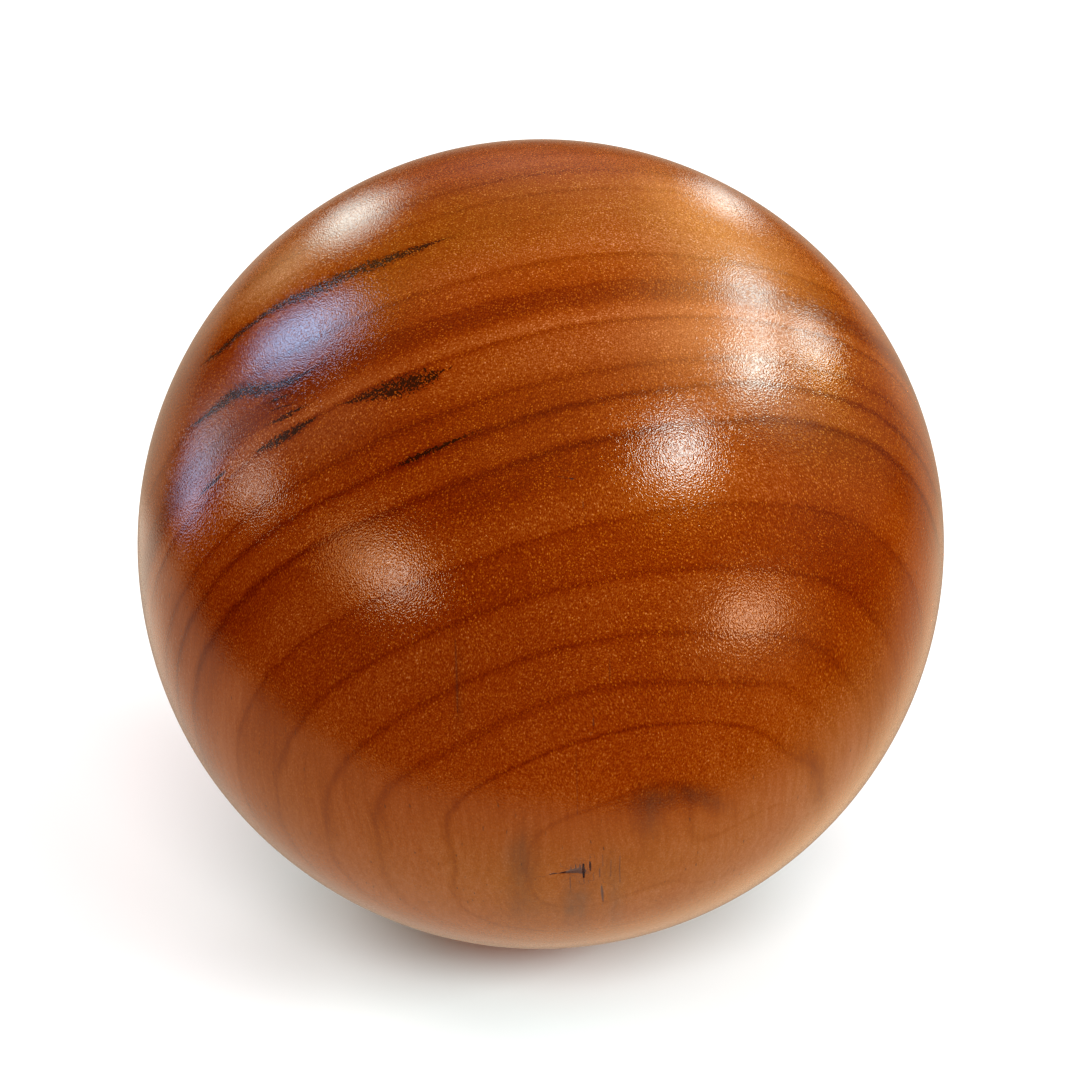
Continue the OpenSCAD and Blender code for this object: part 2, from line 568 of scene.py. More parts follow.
# The thin dark line that ends each year's growth: ring mm, darkness, reach inwards and outwards in mm.
YEARS = [
    (39.9, 18, 0.4, 0.5), (42.2, 22, 0.4, 0.6), (44.5, 16, 0.4, 0.5), (47.9, 28, 0.5, 0.7), (49.7, 16, 0.4, 0.4),
    (53.0, 24, 0.5, 0.7), (55.2, 16, 0.5, 0.5), (57.6, 9, 0.4, 0.4),
    (61.56, 20, 0.85, 0.75), (64.8, 19, 0.55, 0.5), (67.95, 10, 0.4, 0.4), (73.3, 26, 0.35, 0.6),
    (75.95, 7, 0.2, 0.25), (79.17, 36, 0.34, 0.40), (82.33, 30, 0.34, 0.52), (84.04, 46, 0.38, 0.48),
    (86.12, 50, 0.38, 0.55), (90.05, 22, 0.20, 0.25), (92.52, 24, 0.30, 0.20), (94.68, 30, 0.22, 0.26),
    (96.10, 30, 0.26, 0.26), (97.05, 44, 0.085, 0.06), (97.84, 24, 0.045, 0.035),
]
CUTS_IN_RINGS = [38.0, 45.6, 52.0, 58.9, 66.4, 74.6, 79.7, 83.4, 87.95, 91.2, 93.8, 95.4, 96.6, 98.6]


def darkness(u):
    xs_ = [b[0] for b in BANDS]
    v = np.interp(u, xs_, [b[1] for b in BANDS])
    for c, d, a, b in YEARS:
        t = np.where(u < c, (c - u) / a, (u - c) / b)
        v = v - d * np.clip(np.interp(t, [0, 0.2, 0.5, 1.0], [1, 0.86, 0.36, 0]), 0, 1)
    return v


def ring_stops(a, b):
    """The places between a and b where the darkness along the rings has a corner."""
    us = {a, b}
    for m_, _ in BANDS:
        us.add(m_)
    for c, d, ri, ro in YEARS:
        us.update((c - ri, c - 0.5 * ri, c - 0.2 * ri, c, c + 0.2 * ro, c + 0.5 * ro, c + ro))
    us = sorted(u for u in us if a <= u <= b)
    keep = [us[0]]
    for u in us[1:]:
        if u - keep[-1] > (b - a) / 200.0:
            keep.append(u)
    keep[-1] = b
    return [(u, float(darkness(np.array(u)))) for u in keep]


# Colour of the wood by tone (0 is its middle tone), as it looks in full light.
TONES = [
    (-1.100, (0.112, 0.0150, 0.0006)), (-0.537, (0.190, 0.0305, 0.0010)), (-0.399, (0.212, 0.0360, 0.0012)),
    (-0.240, (0.244, 0.0425, 0.0016)), (-0.110, (0.271, 0.0500, 0.0022)), (0.0, (0.298, 0.0575, 0.0030)),
    (0.108, (0.322, 0.0675, 0.0080)), (0.233, (0.352, 0.0815, 0.0140)), (0.324, (0.377, 0.0930, 0.0180)),
    (0.540, (0.446, 0.1225, 0.0280)), (0.900, (0.563, 0.1845, 0.0550)),
]
ALBEDO = 0.76


class Nodes:
    def __init__(self, tree):
        self.t = tree
        self.x = 0

    def new(self, kind, **props):
        n = self.t.nodes.new(kind)
        for k, v in props.items():
            setattr(n, k, v)
        self.x += 1
        n.location = ((self.x % 12) * 190, -(self.x // 12) * 260)
        return n

    def put(self, sock, v):
        if isinstance(v, bpy.types.NodeSocket):
            self.t.links.new(v, sock)
        else:
            sock.default_value = v

    def math(self, op, a, b=0.0, c=None, clamp=False):
        n = self.new("ShaderNodeMath", operation=op, use_clamp=clamp)
        self.put(n.inputs[0], a)
        self.put(n.inputs[1], b)
        if c is not None:
            self.put(n.inputs[2], c)
        return n.outputs[0]

    def vec(self, op, a, b=None):
        n = self.new("ShaderNodeVectorMath", operation=op)
        self.put(n.inputs[0], a)
        if b is not None:
            self.put(n.inputs[1], b)
        return n.outputs["Value"] if op in ("DOT_PRODUCT", "LENGTH") else n.outputs["Vector"]

    def attr(self, name):
        n = self.new("ShaderNodeAttribute", attribute_name=name, attribute_type="GEOMETRY")
        return n.outputs["Fac"]

    def span(self, v, a, b, c=0.0, d=1.0, kind="LINEAR"):
        n = self.new("ShaderNodeMapRange", interpolation_type=kind, clamp=True)
        for i, val in enumerate((v, a, b, c, d)):
            self.put(n.inputs[i], val)
        return n.outputs[0]

    def noise(self, vec, scale, detail=2.0, rough=0.5, dist=0.0):
        n = self.new("ShaderNodeTexNoise", noise_dimensions="3D")
        self.put(n.inputs["Vector"], vec)
        n.inputs["Scale"].default_value = scale
        n.inputs["Detail"].default_value = detail
        n.inputs["Roughness"].default_value = rough
        n.inputs["Distortion"].default_value = dist
        return n.outputs["Fac"]

    def voronoi(self, vec, scale, feature="F1", rand=1.0):
        n = self.new("ShaderNodeTexVoronoi", voronoi_dimensions="3D", feature=feature)
        self.put(n.inputs["Vector"], vec)
        n.inputs["Scale"].default_value = scale
        n.inputs["Randomness"].default_value = rand
        return n

    def ramp(self, fac, stops, interp="LINEAR"):
        n = self.new("ShaderNodeValToRGB")
        cr = n.color_ramp
        cr.interpolation = interp
        els = cr.elements
        els[0].position, els[-1].position = stops[0][0], stops[-1][0]
        for p, _ in stops[1:-1]:
            els.new(p)
        for e, (p, c) in zip(els, stops):
            e.position = p
            e.color = (*c, 1.0)
        self.put(n.inputs["Fac"], fac)
        return n.outputs["Color"]

    def mix(self, fac, a, b, mode="MIX"):
        n = self.new("ShaderNodeMix", data_type="RGBA", blend_type=mode)
        self.put(n.inputs["Factor"], fac)
        for s, v in ((n.inputs["A"], a), (n.inputs["B"], b)):
            pass
        self.put(n.inputs[6], a)
        self.put(n.inputs[7], b)
        return n.outputs[2]


def wood():
    mat = bpy.data.materials.new("turned_wood")
    mat.use_nodes = True
    t = mat.node_tree
    t.nodes.clear()
    k = Nodes(t)
    out = k.new("ShaderNodeOutputMaterial")
    bsdf = k.new("ShaderNodeBsdfPrincipled")
    t.links.new(bsdf.outputs[0], out.inputs["Surface"])

    co = k.new("ShaderNodeTexCoord").outputs["Object"]
    mm = k.vec("SCALE", co)
    mm.node.inputs["Scale"].default_value = 1000.0
    fibre = norm(np.array([-0.03, 0.76, 0.65])) @ FACE
    e1 = norm(np.cross(fibre, [0, 1, 0]))
    e2 = np.cross(fibre, e1)
    # the grain wanders a little
    wob = k.new("ShaderNodeTexNoise", noise_dimensions="3D")
    k.put(wob.inputs["Vector"], mm)
    wob.inputs["Scale"].default_value = 0.11
    wob.inputs["Detail"].default_value = 1.0
    wobv = k.vec("SUBTRACT", wob.outputs["Color"], (0.5, 0.5, 0.5))
    wobs = k.vec("SCALE", wobv)
    wobs.node.inputs["Scale"].default_value = 2.4
    mmw = k.vec("ADD", mm, wobs)
    da = k.vec("DOT_PRODUCT", mmw, tuple(e1))
    db = k.vec("DOT_PRODUCT", mmw, tuple(e2))
    dc = k.vec("DOT_PRODUCT", mmw, tuple(fibre))

    def grain(stretch):
        n = k.new("ShaderNodeCombineXYZ")
        k.put(n.inputs[0], da)
        k.put(n.inputs[1], db)
        k.put(n.inputs[2], k.math("MULTIPLY", dc, 1.0 / stretch))
        return n.outputs[0]

    g8 = grain(7.0)
    g2 = grain(1.5)
    g20 = grain(22.0)

    # ---- growth rings
    ring = k.attr("ring")
    rag = k.math("MULTIPLY", k.math("SUBTRACT", k.noise(g8, 1.7, 2.0, 0.6), 0.5), 0.34)
    rag2 = k.math("MULTIPLY", k.math("SUBTRACT", k.noise(mm, 0.22, 2.0, 0.5), 0.5), 0.5)
    ringw = k.math("ADD", ring, k.math("MULTIPLY", k.math("ADD", rag, rag2), k.attr("slope")))
    total = None
    for a, b in zip(CUTS_IN_RINGS[:-1], CUTS_IN_RINGS[1:]):
        seg = ring_stops(a, b)
        stops = [((m - a) / (b - a), (0.5 + v / 100.0,) * 3) for m, v in seg]
        f = k.span(ringw, a, b, 0.0, 1.0)
        col = k.ramp(f, stops)
        v = k.math("SUBTRACT", col, 0.5)
        inside = k.math("MULTIPLY", k.math("GREATER_THAN", ringw, a), k.math("LESS_THAN", ringw, b))
        v = k.math("MULTIPLY", v, inside)
        total = v if total is None else k.math("ADD", total, v)
    # rings come and go along their length
    fade = k.span(k.noise(mm, 0.16, 2.0, 0.5), 0.3, 0.7, 0.75, 1.2)
    tone = k.math("MULTIPLY", total, k.math("MULTIPLY", fade, k.attr("strong")))

    for a, b in (("s1x", "s1w"), ("s2x", "s2w"), ("s3x", "s3w")):
        half = k.attr(b)
        d = k.math("SUBTRACT", half, k.math("ABSOLUTE", k.attr(a)))
        halo = k.math("MULTIPLY", k.span(d, -0.55, 0.0, 0.0, -0.26, "SMOOTHSTEP"), k.span(half, -0.10, 0.15, 0.0, 1.0))
        tone = k.math("ADD", tone, halo)

    # ---- broad and fine variation
    # darker and lighter places: wood tone and stains, and some painted shade and painted light
    tone = k.math("ADD", tone, k.attr("wood_tone_and_painted_light"))
    broad = k.math("MULTIPLY", k.math("SUBTRACT", k.noise(grain(3.0), 0.16, 3.0, 0.55), 0.5), 0.30)
    tone = k.math("ADD", tone, broad)
    fibres = k.math("MULTIPLY", k.math("SUBTRACT", k.noise(g20, 2.6, 3.0, 0.6), 0.5), k.span(k.attr("calm"), 0.0, 1.0, 0.26, 0.50))
    tone = k.math("ADD", tone, fibres)
    ends = k.span(k.attr("calm"), 0.0, 1.0, 1.0, 0.34)
    grit = k.math("MULTIPLY", k.math("SUBTRACT", k.noise(g2, 9.0, 1.0, 0.5), 0.5), k.math("MULTIPLY", ends, 1.5))
    tone = k.math("ADD", tone, grit)

    # ---- pores: small bright dots
    vor = k.voronoi(grain(2.0), 6.2)
    pick = k.new("ShaderNodeSeparateColor")
    k.put(pick.inputs[0], vor.outputs["Color"])
    size = k.span(pick.outputs[0], 0.0, 1.0, 0.29, 0.52)
    pore = k.span(vor.outputs["Distance"], k.math("MULTIPLY", size, 0.35), size, 1.0, 0.0, "SMOOTHSTEP")
    power = k.span(pick.outputs[1], 0.0, 1.0, 0.45, 1.0)
    clumps = k.span(k.noise(mm, 0.55, 2.0, 0.6), 0.35, 0.65, 0.6, 1.15)
    clumps = k.math("MULTIPLY", clumps, k.span(tone, -0.45, 0.35, 1.15, 0.7))
    pore = k.math("MULTIPLY", pore, k.math("MULTIPLY", power, clumps))
    pore = k.math("MULTIPLY", pore, k.span(k.attr("hush"), 0.0, 1.0, 1.0, 0.50))

    # ---- colour
    f = k.span(tone, -1.10, 0.90, 0.0, 1.0)
    colour = k.ramp(f, [((p + 1.10) / 2.0, tuple(ALBEDO * c for c in col)) for p, col in TONES])
    bright = k.mix(1.0, colour, (2.2, 3.5, 8.0, 1.0), "MULTIPLY")
    colour = k.mix(k.math("MULTIPLY", pore, k.math("MULTIPLY", ends, 0.92)), colour, bright)

    # painted light, with one real golden band: paler, yellower wood where the ball is lit and where it mirrors the
    # table
    pale_wood_and_painted_light = k.math("MULTIPLY", k.attr("pale_wood_and_painted_light"), k.span(k.noise(g8, 0.35, 2.0, 0.5), 0.3, 0.7, 0.85, 1.15))
    colour = k.mix(pale_wood_and_painted_light, colour, k.mix(1.0, colour, (1.03, 1.52, 2.6, 1.0), "MULTIPLY"))
    # ---- greyish stains, drawn out along the fibres
    smoke = k.math("MULTIPLY", k.attr("smoke"), k.span(k.noise(g20, 1.6, 3.0, 0.6), 0.25, 0.70, 0.35, 1.25))
    colour = k.mix(smoke, colour, (0.088, 0.046, 0.027, 1.0))
    # ---- dark slits where the fibres run along the surface
    slit = k.voronoi(grain(5.0), 2.3)
    sp = k.new("ShaderNodeSeparateColor")
    k.put(sp.inputs[0], slit.outputs["Color"])
    sl = k.span(slit.outputs["Distance"], 0.06, 0.15, 1.0, 0.0, "SMOOTHSTEP")
    sl = k.math("MULTIPLY", sl, k.span(sp.outputs[0], 0.35, 0.95, 0.0, 0.78))
    sl = k.math("MULTIPLY", sl, k.span(ends, 0.55, 1.0, 1.0, 0.0))
    colour = k.mix(sl, colour, (0.050, 0.024, 0.014, 1.0))

    # ---- mineral streaks
    ink = None
    crumbs = k.math("MULTIPLY", k.math("SUBTRACT", k.noise(g2, 6.0, 2.0, 0.7), 0.5), 6.0)
    crumbs = k.math("SUBTRACT", crumbs, k.span(vor.outputs["Distance"], 0.12, 0.34, 1.3, 0.0))
    for a, b in (("s1x", "s1w"), ("s2x", "s2w"), ("s3x", "s3w")):
        half = k.attr(b)
        d = k.math("SUBTRACT", half, k.math("ABSOLUTE", k.attr(a)))
        v = k.math("MINIMUM", k.math("DIVIDE", d, k.math("MAXIMUM", half, 0.10)), 0.55)
        v = k.math("ADD", v, crumbs)
        m = k.span(v, -0.25, 0.35, 0.0, 1.0, "SMOOTHSTEP")
        m = k.math("MULTIPLY", m, k.span(half, 0.0, 0.10, 0.0, 1.0))
        ink = m if ink is None else k.math("MAXIMUM", ink, m)
    colour = k.mix(k.math("MULTIPLY", ink, 0.90), colour, (0.042 * ALBEDO, 0.015 * ALBEDO, 0.004 * ALBEDO, 1.0))
    # ---- cuts
    d = k.math("SUBTRACT", k.attr("cutw"), k.math("ABSOLUTE", k.attr("cutx")))
    cut = k.span(d, -0.045, 0.03, 0.0, 1.0, "SMOOTHSTEP")
    colour = k.mix(k.math("MULTIPLY", cut, k.attr("cutk")), colour, (0.034, 0.028, 0.033, 1.0))
    k.put(bsdf.inputs["Base Color"], colour)

    # ---- finish
    rough = k.span(k.noise(mm, 0.35, 3.0, 0.6), 0.3, 0.7, 0.07, 0.095)
    rough = k.math("ADD", rough, k.math("MULTIPLY", pore, 0.12))
    rough = k.math("ADD", rough, k.math("MULTIPLY", ink, 0.10), clamp=True)
    k.put(bsdf.inputs["Roughness"], rough)
    bsdf.inputs["Specular IOR Level"].default_value = 0.5
    bsdf.inputs["IOR"].default_value = 1.5
    bsdf.inputs["Sheen Weight"].default_value = 0.10
    bsdf.inputs["Sheen Roughness"].default_value = 0.25
    bsdf.inputs["Sheen Tint"].default_value = (1.0, 0.62, 0.30, 1.0)

    h = k.span(vor.outputs["Distance"], 0.15, 0.42, -0.5, 0.0, "SMOOTHSTEP")
    h = k.math("ADD", h, k.math("MULTIPLY", k.noise(g2, 9.6, 0.0, 0.5), 2.5))
    h = k.math("ADD", h, k.math("MULTIPLY", k.noise(mm, 4.2, 0.0, 0.5), 0.6))
    bump = k.new("ShaderNodeBump")
    bump.inputs["Strength"].default_value = 1.0
    bump.inputs["Distance"].default_value = 0.0000058
    k.put(bump.inputs["Height"], h)
    k.put(bsdf.inputs["Normal"], bump.outputs[0])
    return mat


ball = build_ball()
ball.data.materials.append(wood())
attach(ball, "root")
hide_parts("ball")

# ---------------------------------------------------------------- camera
scene = bpy.context.scene
cam_data = bpy.data.cameras.new("camera")
cam = bpy.data.objects.new("camera", cam_data)
scene.collection.objects.link(cam)
cam_data.sensor_fit = "HORIZONTAL"
cam_data.sensor_width = 36.0
cam_data.lens = VIEW_F / 1080.0 * 36.0
cam_data.clip_start, cam_data.clip_end = 0.01, 20.0
C = np.array(CENTRE[:])
eye = C + BACK * DIST * R
aim = C + (RIGHT * (539.5 - VIEW_C[0]) - UP * (539.5 - VIEW_C[1])) / VIEW_F * DIST * R
fwd = norm(aim - eye)
side = norm(np.cross(fwd, UP))
upv = np.cross(side, fwd)
cam.matrix_world = Matrix((
    (side[0], upv[0], -fwd[0], eye[0]),
    (side[1], upv[1], -fwd[1], eye[1]),
    (side[2], upv[2], -fwd[2], eye[2]),
    (0, 0, 0, 1),
))
scene.camera = cam

# ---------------------------------------------------------------- studio
scene.view_settings.view_transform = "Standard"
scene.view_settings.look = "None"
scene.view_settings.exposure = 0.0
scene.view_settings.gamma = 1.0
# a little more contrast in the darks, as a studio picture has
scene.view_settings.use_curve_mapping = True
curve = scene.view_settings.curve_mapping
line = curve.curves[3]
for x_, y_ in ((0.01, 0.0015), (0.02, 0.0056), (0.03, 0.0114), (0.045, 0.0225), (0.06, 0.0351), (0.09, 0.0634),
               (0.13, 0.1035), (0.2, 0.1753), (0.3, 0.2784), (0.45, 0.4330), (0.7, 0.6907)):
    line.points.new(x_, y_)
for p_ in line.points:
    p_.handle_type = "VECTOR"
curve.update()


def plain(name, colour=(1, 1, 1), emit=None, strength=1.0, rough=0.9):
    m = bpy.data.materials.new(name)
    m.use_nodes = True
    t = m.node_tree
    t.nodes.clear()
    o = t.nodes.new("ShaderNodeOutputMaterial")
    if emit is not None:
        e = t.nodes.new("ShaderNodeEmission")
        e.inputs["Color"].default_value = (*emit, 1)
        e.inputs["Strength"].default_value = strength
        t.links.new(e.outputs[0], o.inputs["Surface"])
    else:
        d = t.nodes.new("ShaderNodeBsdfDiffuse")
        d.inputs["Color"].default_value = (*colour, 1)
        t.links.new(d.outputs[0], o.inputs["Surface"])
    return m


def see(obj, camera=False, diffuse=False, glossy=False, shadow=False):
    obj.visible_camera = camera
    obj.visible_diffuse = diffuse
    obj.visible_glossy = glossy
    obj.visible_transmission = False
    obj.visible_volume_scatter = False
    obj.visible_shadow = shadow


def sheet(name, corners, mat):
    me = bpy.data.meshes.new(name)
    me.from_pydata([tuple(c) for c in corners], [], [tuple(range(len(corners)))])
    me.materials.append(mat)
    o = bpy.data.objects.new(name, me)
    scene.collection.objects.link(o)
    return o


z = FLOOR
S = 0.7
paint = plain("pale_floor", (0.86, 0.855, 0.85))
floor = sheet("floor", [(-S, -S, z), (S, -S, z), (S, S, z), (-S, S, z)], paint)
see(floor, camera=True, diffuse=False, glossy=False, shadow=False)
# the ball sees the white table as two even glows: one for its soft light, one for its reflection
zu = z - 0.0002
bounce = sheet("bounce", [(-1, -1, zu), (1, -1, zu), (1, 1, zu), (-1, 1, zu)], plain("bounce", emit=(1.0, 0.99, 0.97), strength=1.6))
see(bounce, diffuse=True)
bt = bounce.data.materials[0].node_tree
k = Nodes(bt)
deep = k.math("GREATER_THAN", k.new("ShaderNodeLightPath").outputs["Ray Depth"], 1.5)
k.put([n for n in bt.nodes if n.type == "EMISSION"][0].inputs["Strength"], k.span(deep, 0.0, 1.0, 1.6, 0.9))
world = bpy.data.worlds.new("studio")
scene.world = world
world.use_nodes = True
wt = world.node_tree
wt.nodes.clear()
wo = wt.nodes.new("ShaderNodeOutputWorld")
b1 = wt.nodes.new("ShaderNodeBackground")
b2 = wt.nodes.new("ShaderNodeBackground")
lp = wt.nodes.new("ShaderNodeLightPath")
mx = wt.nodes.new("ShaderNodeMixShader")
b1.inputs["Color"].default_value = (1.0, 1.0, 1.0, 1)
b1.inputs["Strength"].default_value = 0.5
b2.inputs["Color"].default_value = (1, 1, 1, 1)
b2.inputs["Strength"].default_value = 1.0
wt.links.new(lp.outputs["Is Camera Ray"], mx.inputs[0])
wt.links.new(b1.outputs[0], mx.inputs[1])
wt.links.new(b2.outputs[0], mx.inputs[2])
wt.links.new(mx.outputs[0], wo.inputs["Surface"])
world.cycles_visibility.glossy = False


def area(name, direction, dist, size, power, colour=(1, 1, 1), only=None, spread=180.0):
    """A soft diffuse-only lamp in a direction given in the world frame."""
    ld = bpy.data.lights.new(name, "AREA")
    ld.shape = "DISK"
    ld.size = size
    ld.energy = power
    ld.color = colour
    ld.spread = math.radians(spread)
    o = bpy.data.objects.new(name, ld)
    d = Vector(norm(direction))
    o.location = Vector(CENTRE) + d * dist
    o.rotation_mode = "QUATERNION"
    o.rotation_quaternion = d.to_track_quat("Z", "Y")
    scene.collection.objects.link(o)
    see(o, diffuse=True)
    if only is not None:
        col = bpy.data.collections.new(name + "_on")
        for x in only:
            col.objects.link(x)
        o.light_linking.receiver_collection = col
    return o


def w(v):
    """Face frame to world."""
    return np.asarray(v, float) @ FACE


# lamps for the ball
area("key", w((0.55, 0.75, 0.10)), 0.9, 0.7, 2.8, only=[ball])
area("side", w((0.9, 0.0, 0.4)), 0.9, 0.7, 4.8, only=[ball])
area("top", w((0.0, 0.95, 0.25)), 0.9, 0.7, 8.1, only=[ball])
area("back", w((0.1, 0.8, -0.6)), 0.9, 0.7, 9.0, only=[ball])
# lamps for the floor
area("floor_back", (0.0, 1.0, 0.6), 0.9, 0.4, 1.87, (0.85, 0.97, 1.0), only=[floor])
area("floor_back_left", (-0.7, 0.5, 0.6), 0.9, 0.4, 2.35, (1.0, 0.998, 0.956), only=[floor])
area("floor_left", (-1.0, -0.1, 0.5), 0.9, 0.4, 1.3, (0.27, 1.0, 0.91), only=[floor])
area("floor_front", (0.0, -1.0, 0.8), 0.9, 0.4, 4.45, (1.0, 0.985, 1.0), only=[floor])
area("floor_right_front", (0.98, -0.68, 1.0), 0.9, 0.8, 3.12, (0.816, 0.907, 1.0), only=[floor])
area("floor_right", (1.0, -0.3, 0.35), 0.9, 0.35, 7.16, (0.834, 1.0, 0.97), only=[floor])
area("floor_right_2", (1.0, 0.0, 0.6), 0.9, 0.4, 0.78, (0.43, 1.0, 0.86), only=[floor])
area("floor_top", (0.0, 0.0, 1.0), 0.9, 1.1, 2.6, (1.0, 0.381, 0.413), only=[floor])


# ---------------------------------------------------------------- what the gloss reflects
# Soft panels of light, brightest in the middle: the layout point where each is
# mirrored in the ball, half sizes there, turn in degrees, colour, strength and
# how peaked it is.
PANELS = [
    (755, 367, 24, 33, 0, (0.76, 1.0, 0.98), 28.0, 0.7),
    (750, 298, 34, 22, 66, (0.62, 0.94, 1.0), 18.0, 0.7),
    (809, 344, 32, 19, 50, (0.72, 0.98, 1.0), 15.8, 0.7),
    (824, 370, 26, 16, 58, (1.0, 0.52, 0.10), 8.0, 0.8),
    (722, 334, 126, 112, 0, (1.0, 0.66, 0.30), 5.8, 1.4),
    (705, 262, 100, 56, 20, (0.92, 1.0, 0.50), 1.0, 1.3),
    (778, 412, 66, 42, 10, (1.0, 1.0, 0.86), 1.9, 1.3),
    (680, 451, 28, 36, 0, (0.76, 0.98, 1.0), 28.5, 0.7),
    (680, 470, 72, 80, 0, (1.0, 0.52, 0.16), 4.1, 1.2),
    (724, 202, 34, 14, 32, (0.86, 1.0, 0.95), 7.2, 0.7),
    (702, 220, 90, 36, 30, (1.0, 0.50, 0.14), 2.7, 1.1),
    (351, 221, 46, 19, -33, (0.80, 1.0, 0.95), 6.6, 0.7),
    (360, 224, 70, 34, -33, (0.80, 1.0, 0.95), 0.8, 1.0),
    (290, 264, 76, 22, -38, (1.0, 0.85, 0.55), 1.5, 1.2),
    (303, 334, 72, 24, -31, (0.32, 0.60, 0.98), 17.0, 0.7),
    (362, 306, 90, 44, -28, (1.0, 0.75, 0.25), 1.6, 1.2),
    (195, 481, 17, 60, 14, (0.51, 0.66, 1.0), 6.0, 0.7),
    (212, 440, 20, 50, 16, (0.90, 1.0, 1.0), 1.9, 1.0),
    (254, 487, 24, 26, 0, (1.0, 0.96, 0.90), 7.8, 0.7),
    (400, 581, 24, 28, 0, (1.0, 1.0, 0.92), 9.4, 0.7),
    (372, 560, 60, 40, 22, (1.0, 0.60, 0.36), 6.5, 0.9),
    (749, 617, 31, 28, 0, (1.0, 0.63, 0.42), 15.4, 0.8),
    (752, 622, 100, 84, 0, (0.7, 1.0, 0.75), 0.85, 1.3),
    (600, 215, 280, 90, 6, (0.4, 0.75, 1.0), 0.36, 1.0),
    (520, 165, 200, 34, 0, (0.3, 0.7, 1.0), 0.22, 1.0),
    (835, 430, 130, 150, 20, (0.2, 0.8, 1.0), 0.30, 1.0),
    (800, 510, 120, 90, 0, (0.2, 0.8, 1.0), 0.20, 1.0),
    (440, 300, 130, 70, -20, (0.2, 0.7, 1.0), 0.26, 1.0),
    (640, 330, 150, 70, 0, (0.2, 0.8, 1.0), 0.30, 1.0),
    (600, 400, 220, 130, -10, (0.4, 1.0, 0.8), 0.34, 1.0),
    (330, 420, 120, 60, -30, (0.4, 0.9, 1.0), 0.50, 1.0),
    (240, 420, 64, 60, 0, (0.5, 0.8, 1.0), 0.95, 1.0),
]
# Where the white table behind the ball shows brighter along its outline:
# place round the outline and half length in degrees, colour, strength.
STRIPS = [
    (320, 64, (1.0, 0.62, 0.24), 0.45),
    (184, 28, (1.0, 0.76, 0.56), 0.40),
]


def light_tent(dist=0.7):
    """One wide shell round the ball; each of its points is the one the ball mirrors at a layout point, and glows by the panels."""
    nr, na = 150, 260
    rr = 0.994 * np.sin(np.linspace(0.002, math.pi / 2, nr))
    an = np.linspace(0, 2 * math.pi, na, endpoint=False)
    X = VIEW_C[0] + VIEW_R * rr[:, None] * np.cos(an)
    Y = VIEW_C[1] - VIEW_R * rr[:, None] * np.sin(an)
    lay = np.stack([X.ravel(), Y.ravel()], 1)
    P = on_ball(lay)
    V = np.array([0, 0, DIST]) - P
    V /= np.linalg.norm(V, axis=1)[:, None]
    L = 2 * (P * V).sum(1)[:, None] * P - V
    co = ((P + L * dist / R) * R) @ FACE + C
    glow = np.zeros((len(lay), 4))
    glow[:, 3] = 1
    for x, y, a, b, rot, colour, strength, soft in PANELS:
        c, s_ = math.cos(math.radians(rot)), math.sin(math.radians(rot))
        u = ((lay[:, 0] - x) * c + (lay[:, 1] - y) * s_) / a
        v = (-(lay[:, 0] - x) * s_ + (lay[:, 1] - y) * c) / b
        f = np.clip(1 - np.hypot(u, v), 0, 1) ** soft * strength
        glow[:, :3] += f[:, None] * np.array(colour)
    r_ = np.repeat(rr, na)
    a_ = np.degrees(np.tile(an, nr))
    glow[:, :3] *= np.interp(r_, [0.945, 0.985], [1.0, 0.25])[:, None]
    idx = np.arange(nr * na).reshape(nr, na)
    nxt = np.roll(idx, -1, 1)
    faces = np.stack([idx[:-1], idx[1:], nxt[1:], nxt[:-1]], -1).reshape(-1, 4)
    # only the parts that glow are needed
    lit = glow[faces][:, :, :3].max((1, 2)) > 0
    faces = faces[lit]
    used = np.unique(faces)
    new = np.full(len(lay), -1)
    new[used] = np.arange(len(used))
    me = bpy.data.meshes.new("light_tent")
    me.from_pydata(co[used].tolist(), [], new[faces].tolist())
    at_ = me.attributes.new("glow", "FLOAT_COLOR", "POINT")
    at_.data.foreach_set("color", glow[used].reshape(-1).astype(np.float32))
    m = glow_paint("light_tent")
    me.materials.append(m)
    o = bpy.data.objects.new("light_tent", me)
    scene.collection.objects.link(o)
    see(o, glossy=True)
    return o


def glow_paint(name):
    m = bpy.data.materials.new(name)
    m.use_nodes = True
    t = m.node_tree
    t.nodes.clear()
    out = t.nodes.new("ShaderNodeOutputMaterial")
    em = t.nodes.new("ShaderNodeEmission")
    src = t.nodes.new("ShaderNodeAttribute")
    src.attribute_name = "glow"
    src.attribute_type = "GEOMETRY"
    t.links.new(src.outputs["Color"], em.inputs["Color"])
    em.inputs["Strength"].default_value = 1.0
    t.links.new(em.outputs[0], out.inputs["Surface"])
    m.cycles.emission_sampling = "NONE"
    return m


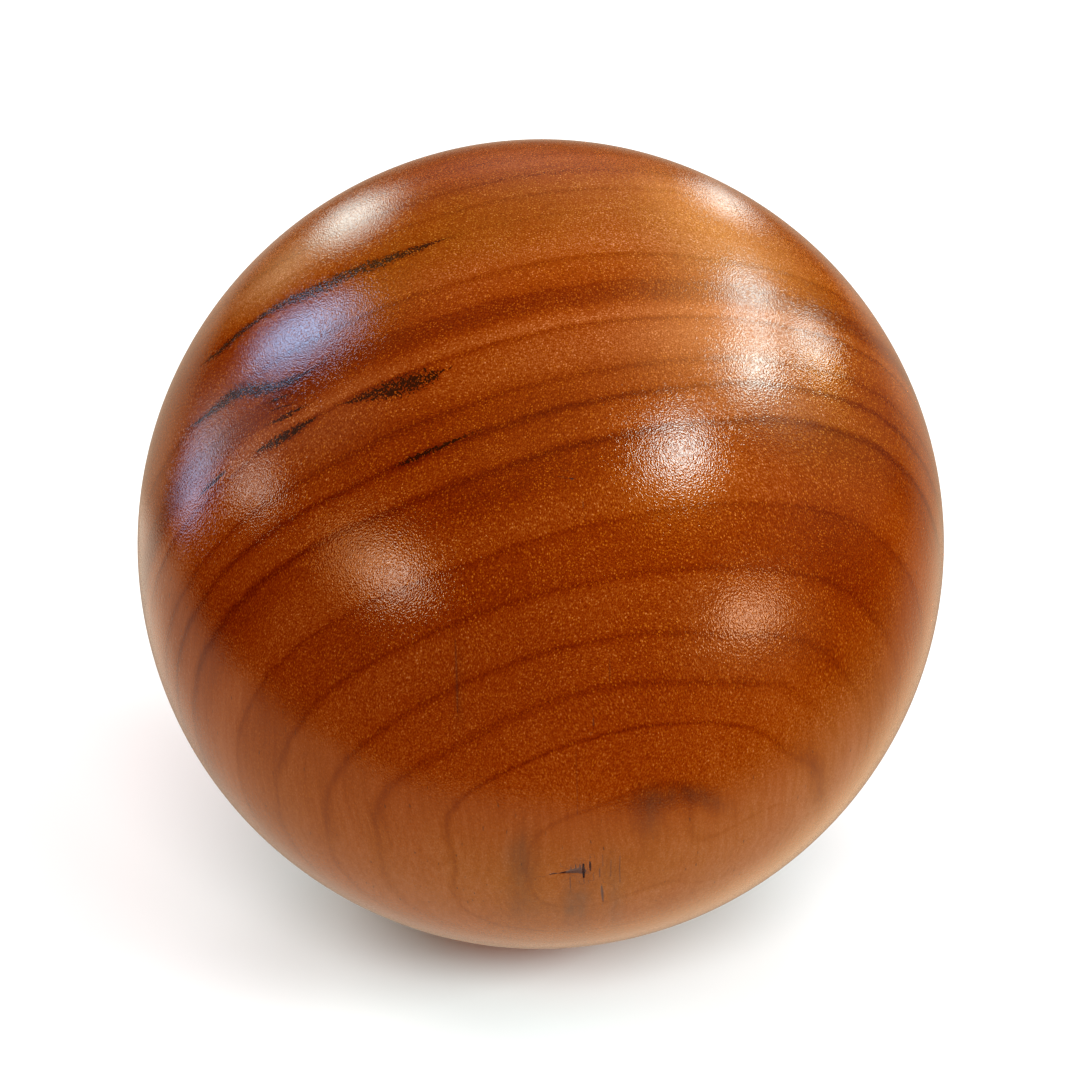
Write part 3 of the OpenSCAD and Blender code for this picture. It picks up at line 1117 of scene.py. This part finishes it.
def table_top():
    """The white table, laid out by where the ball mirrors it: an even glow with a soft front edge, brighter along the ball's outline."""
    rows = np.concatenate([np.linspace(0.25, 0.93, 52), [0.941, 0.947, 0.953, 0.960, 0.967, 0.98, 0.996]])
    turn = np.linspace(140, 400, 261)
    a_, r_ = (v.ravel() for v in np.meshgrid(np.radians(turn), rows))
    lay = np.stack([VIEW_C[0] + VIEW_R * r_ * np.cos(a_), VIEW_C[1] - VIEW_R * r_ * np.sin(a_)], 1)
    P = on_ball(lay)
    V = np.array([0, 0, DIST]) - P
    V /= np.linalg.norm(V, axis=1)[:, None]
    L = (2 * (P * V).sum(1)[:, None] * P - V) @ FACE
    P = P @ FACE
    down = L[:, 2] < -0.03
    t = np.where(down, (-1.0 - P[:, 2]) / np.where(down, L[:, 2], -1), 0)
    co = (P + t[:, None] * L) * R + C
    co[:, 2] = zu
    d = lay[:, 1] - np.interp(lay[:, 0], [c[0] for c in CALM], [c[1] for c in CALM])
    wide = np.interp(lay[:, 0], [150, 250, 340, 640, 720, 790, 860, 900], [26, 22, 13, 13, 22, 38, 80, 120])
    soft = np.clip((d + wide) / (2 * wide), 0, 1)
    soft = soft * soft * (3 - 2 * soft)
    glow = np.ones((len(co), 4))
    glow[:, :3] = soft[:, None] * 0.56 * np.array((1.0, 0.965, 0.83))
    for place, half, colour, strength in STRIPS:
        away = np.abs((np.degrees(a_) - place + 180) % 360 - 180) / half
        f = np.clip(1.4 * (1 - away), 0, 1) * np.interp(r_, [0.941, 0.967], [0.0, 1.0]) * strength
        glow[:, :3] += f[:, None] * np.array(colour)
    glow[:, :3] = np.maximum(glow[:, :3], np.interp(r_, [0.92, 0.95], [0.0, 0.4])[:, None] * np.array((1.0, 0.88, 0.72)))
    n = len(turn)
    a = (np.arange(len(rows) - 1)[:, None] * n + np.arange(n - 1)).ravel()
    faces = np.stack([a, a + 1, a + n + 1, a + n], 1)
    faces = faces[down[faces].all(1) & (glow[faces][:, :, 0].max(1) > 0)]
    used = np.unique(faces)
    new = np.full(len(co), -1)
    new[used] = np.arange(len(used))
    me = bpy.data.meshes.new("table_top")
    me.from_pydata(co[used].tolist(), [], new[faces].tolist())
    at_ = me.attributes.new("glow", "FLOAT_COLOR", "POINT")
    at_.data.foreach_set("color", glow[used].reshape(-1).astype(np.float32))
    me.materials.append(glow_paint("table_white"))
    o = bpy.data.objects.new("table_top", me)
    scene.collection.objects.link(o)
    see(o, glossy=True)


light_tent()
table_top()
# the rest of the table, far behind the ball
turn = np.radians(np.linspace(150, 390, 49))
P = on_ball(np.stack([VIEW_C[0] + VIEW_R * 0.991 * np.cos(turn), VIEW_C[1] - VIEW_R * 0.991 * np.sin(turn)], 1))
V = norm_rows(np.array([0, 0, DIST]) - P)
L = (2 * (P * V).sum(1)[:, None] * P - V) @ FACE
hit = P @ FACE + ((1.0 + (P @ FACE)[:, 2]) / np.maximum(-L[:, 2], 0.02))[:, None] * L
hit = (hit * R + C)[(L[:, 2] < -0.06) & (np.hypot(hit[:, 0], hit[:, 1]) * R < 0.45)]
rim = [(x_, y_) for x_, y_ in hit[:, :2].tolist()]
far = sheet("table_far", [(x_, y_, zu - 0.00005) for x_, y_ in rim + [(0.42, 0.45), (-0.42, 0.45)]],
            plain("table_far", emit=(1.0, 0.88, 0.72), strength=0.4))
see(far, glossy=True)
far.data.materials[0].cycles.emission_sampling = "NONE"
